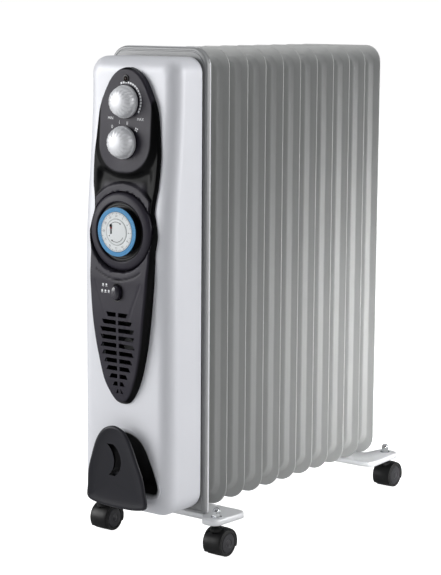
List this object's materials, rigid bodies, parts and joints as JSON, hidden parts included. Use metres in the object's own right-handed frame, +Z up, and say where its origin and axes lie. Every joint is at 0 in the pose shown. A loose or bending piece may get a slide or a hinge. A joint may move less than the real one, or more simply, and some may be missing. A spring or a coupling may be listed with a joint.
{
  "type": "oil filled radiator heater",
  "caption": "Oil filled radiator on casters, with fins, a turbo fan, thermostat and selector knobs, a segment timer and a cord store.",
  "frame": {"origin": "middle of the whole heater, on the floor under its casters", "axes": "+Z up, -Y from the fins out through the control face, +Y towards the rear fins"},
  "size_m": [0.2224, 0.5531, 0.6568],
  "materials": {
    "fin_paint": "satin grey enamel",
    "plate_paint": "satin silver paint",
    "housing_paint": "satin silver-white paint",
    "foot_paint": "satin silver-white paint",
    "panel_plastic": "fine satin charcoal plastic",
    "bezel_plastic": "polished black plastic",
    "knob_plastic": "silver coated plastic",
    "lens_plastic": "clear amber plastic",
    "dial_plastic": "printed white plastic",
    "tappet_plastic": "light blue plastic",
    "lever_plastic": "red plastic",
    "button_plastic": "smooth charcoal plastic",
    "store_plastic": "fine satin charcoal plastic",
    "caster_plastic": "moulded black nylon",
    "wheel_plastic": "moulded dark grey nylon",
    "rubber_black": "soft black",
    "unit_plastic": "moulded black plastic",
    "terminal_plastic": "pale nylon",
    "chrome_nut": "polished chrome",
    "zinc_steel": "zinc plated steel",
    "sheet_steel": "bright galvanised sheet",
    "element_steel": "brazed steel"
  },
  "bodies": {
    "heater": {"fin_01": "fin_paint", "fin_02": "fin_paint", "fin_03": "fin_paint", "fin_04": "fin_paint", "fin_05": "fin_paint", "fin_06": "fin_paint", "fin_07": "fin_paint", "fin_08": "fin_paint", "fin_09": "fin_paint", "fin_10": "fin_paint", "fin_11": "fin_paint", "top_header": "fin_paint", "bottom_header": "fin_paint", "heating_element": "element_steel", "front_end_plate": "plate_paint", "housing_shell": "housing_paint", "control_panel": "panel_plastic", "timer_bezel": "bezel_plastic", "timer_body": "unit_plastic", "timer_hub": "dial_plastic", "thermostat": "unit_plastic", "selector_switch": "unit_plastic", "indicator_lens": "lens_plastic", "fan_switch": "unit_plastic", "fan_duct": "sheet_steel", "fan_motor": "zinc_steel", "tip_over_switch": "unit_plastic", "terminal_block": "terminal_plastic", "cord_gland": "rubber_black", "cord_wrap_base": "store_plastic", "cord_wrap_plate": "store_plastic", "front_foot": "foot_paint", "rear_foot": "foot_paint", "front_hook_bolt": "zinc_steel", "rear_hook_bolt": "zinc_steel", "front_wing_nut": "zinc_steel", "rear_wing_nut": "zinc_steel", "front_left_caster_nut": "chrome_nut", "front_right_caster_nut": "chrome_nut", "rear_left_caster_nut": "chrome_nut", "rear_right_caster_nut": "chrome_nut"},
    "thermostat_knob": {"thermostat_knob": "knob_plastic"},
    "selector_knob": {"selector_knob": "knob_plastic"},
    "timer_disc": {"timer_dial": "dial_plastic", "timer_tappet_ring": "tappet_plastic"},
    "override_lever": {"timer_override": "lever_plastic"},
    "fan_button": {"fan_switch_button": "button_plastic"},
    "impeller": {"fan_impeller": "unit_plastic"},
    "front_left_caster": {"front_left_caster_hood": "caster_plastic"},
    "front_left_caster_left_wheel": {"front_left_caster_left_wheel": "wheel_plastic"},
    "front_left_caster_right_wheel": {"front_left_caster_right_wheel": "wheel_plastic"},
    "front_right_caster": {"front_right_caster_hood": "caster_plastic"},
    "front_right_caster_left_wheel": {"front_right_caster_left_wheel": "wheel_plastic"},
    "front_right_caster_right_wheel": {"front_right_caster_right_wheel": "wheel_plastic"},
    "rear_left_caster": {"rear_left_caster_hood": "caster_plastic"},
    "rear_left_caster_left_wheel": {"rear_left_caster_left_wheel": "wheel_plastic"},
    "rear_left_caster_right_wheel": {"rear_left_caster_right_wheel": "wheel_plastic"},
    "rear_right_caster": {"rear_right_caster_hood": "caster_plastic"},
    "rear_right_caster_left_wheel": {"rear_right_caster_left_wheel": "wheel_plastic"},
    "rear_right_caster_right_wheel": {"rear_right_caster_right_wheel": "wheel_plastic"}
  },
  "joints": [
    {"name": "thermostat_turn", "type": "hinge", "parent": "heater", "child": "thermostat_knob", "pos_m": [0, -0.2533, 0.589], "axis": [0, 1, 0], "range_deg": [-90, 170]},
    {"name": "selector_turn", "type": "hinge", "parent": "heater", "child": "selector_knob", "pos_m": [0, -0.2573, 0.538], "axis": [0, 1, 0], "range_deg": [-31, 72]},
    {"name": "timer_turn", "type": "hinge", "parent": "heater", "child": "timer_disc", "pos_m": [0, -0.2707, 0.4257], "axis": [0, 1, 0], "continuous": true},
    {"name": "override_slide", "type": "slide", "parent": "heater", "child": "override_lever", "axis": [0, 0, -1], "range_m": [0, 0.006]},
    {"name": "fan_button_press", "type": "slide", "parent": "heater", "child": "fan_button", "axis": [0, 1, 0], "range_m": [0, 0.0025], "stiffness_N_per_m": 300},
    {"name": "impeller_spin", "type": "hinge", "parent": "heater", "child": "impeller", "pos_m": [0, -0.2366, 0.2775], "axis": [0, 1, 0], "continuous": true},
    {"name": "front_left_caster_swivel", "type": "hinge", "parent": "heater", "child": "front_left_caster", "pos_m": [-0.097, -0.1859, 0.0507], "axis": [0, 0, 1], "continuous": true},
    {"name": "front_left_caster_left_spin", "type": "hinge", "parent": "front_left_caster", "child": "front_left_caster_left_wheel", "pos_m": [-0.097, -0.1779, 0.01782], "axis": [1, 0, 0], "continuous": true},
    {"name": "front_left_caster_right_spin", "type": "hinge", "parent": "front_left_caster", "child": "front_left_caster_right_wheel", "pos_m": [-0.097, -0.1779, 0.01782], "axis": [1, 0, 0], "continuous": true},
    {"name": "front_right_caster_swivel", "type": "hinge", "parent": "heater", "child": "front_right_caster", "pos_m": [0.097, -0.1859, 0.0507], "axis": [0, 0, 1], "continuous": true},
    {"name": "front_right_caster_left_spin", "type": "hinge", "parent": "front_right_caster", "child": "front_right_caster_left_wheel", "pos_m": [0.097, -0.1779, 0.01782], "axis": [1, 0, 0], "continuous": true},
    {"name": "front_right_caster_right_spin", "type": "hinge", "parent": "front_right_caster", "child": "front_right_caster_right_wheel", "pos_m": [0.097, -0.1779, 0.01782], "axis": [1, 0, 0], "continuous": true},
    {"name": "rear_left_caster_swivel", "type": "hinge", "parent": "heater", "child": "rear_left_caster", "pos_m": [-0.0833, 0.2475, 0.0507], "axis": [0, 0, 1], "continuous": true},
    {"name": "rear_left_caster_left_spin", "type": "hinge", "parent": "rear_left_caster", "child": "rear_left_caster_left_wheel", "pos_m": [-0.0833, 0.2555, 0.01782], "axis": [1, 0, 0], "continuous": true},
    {"name": "rear_left_caster_right_spin", "type": "hinge", "parent": "rear_left_caster", "child": "rear_left_caster_right_wheel", "pos_m": [-0.0833, 0.2555, 0.01782], "axis": [1, 0, 0], "continuous": true},
    {"name": "rear_right_caster_swivel", "type": "hinge", "parent": "heater", "child": "rear_right_caster", "pos_m": [0.0833, 0.2475, 0.0507], "axis": [0, 0, 1], "continuous": true},
    {"name": "rear_right_caster_left_spin", "type": "hinge", "parent": "rear_right_caster", "child": "rear_right_caster_left_wheel", "pos_m": [0.0833, 0.2555, 0.01782], "axis": [1, 0, 0], "continuous": true},
    {"name": "rear_right_caster_right_spin", "type": "hinge", "parent": "rear_right_caster", "child": "rear_right_caster_right_wheel", "pos_m": [0.0833, 0.2555, 0.01782], "axis": [1, 0, 0], "continuous": true}
  ]
}
